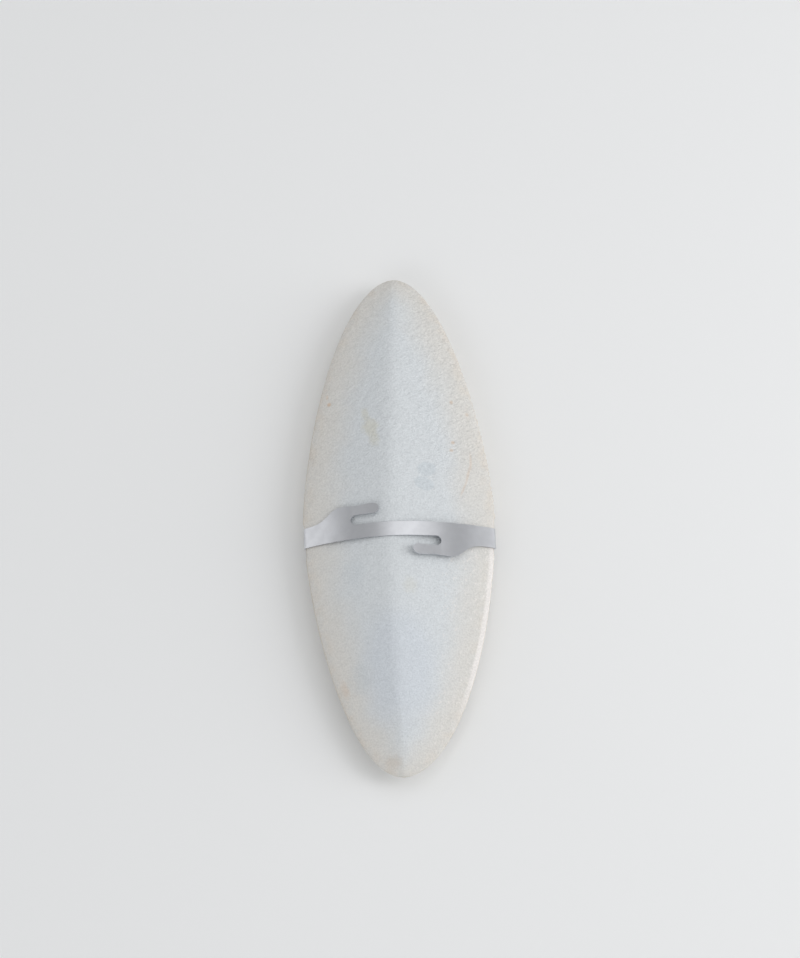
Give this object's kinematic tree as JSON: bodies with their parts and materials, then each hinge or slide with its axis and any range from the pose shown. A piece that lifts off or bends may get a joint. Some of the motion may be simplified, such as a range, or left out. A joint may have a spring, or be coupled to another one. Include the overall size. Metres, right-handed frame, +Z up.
{
  "type": "cuttlebone",
  "caption": "Dried cuttlebone, a light chalky bird supplement, lying belly down in the sprung sheet-metal clip that hangs it on cage wires.",
  "frame": {"origin": "middle of the bounding box, at the level of the surface that the bone's belly rests on", "axes": "+Y along the bone towards its front (broad-lobed) end, +X across it, +Z up through the crest of its back"},
  "size_m": [0.0562, 0.153, 0.0201],
  "materials": {
    "chalk": "matte",
    "steel": "satin"
  },
  "bodies": {
    "root": {"cuttlebone": "chalk", "clip": "steel"}
  },
  "joints": []
}
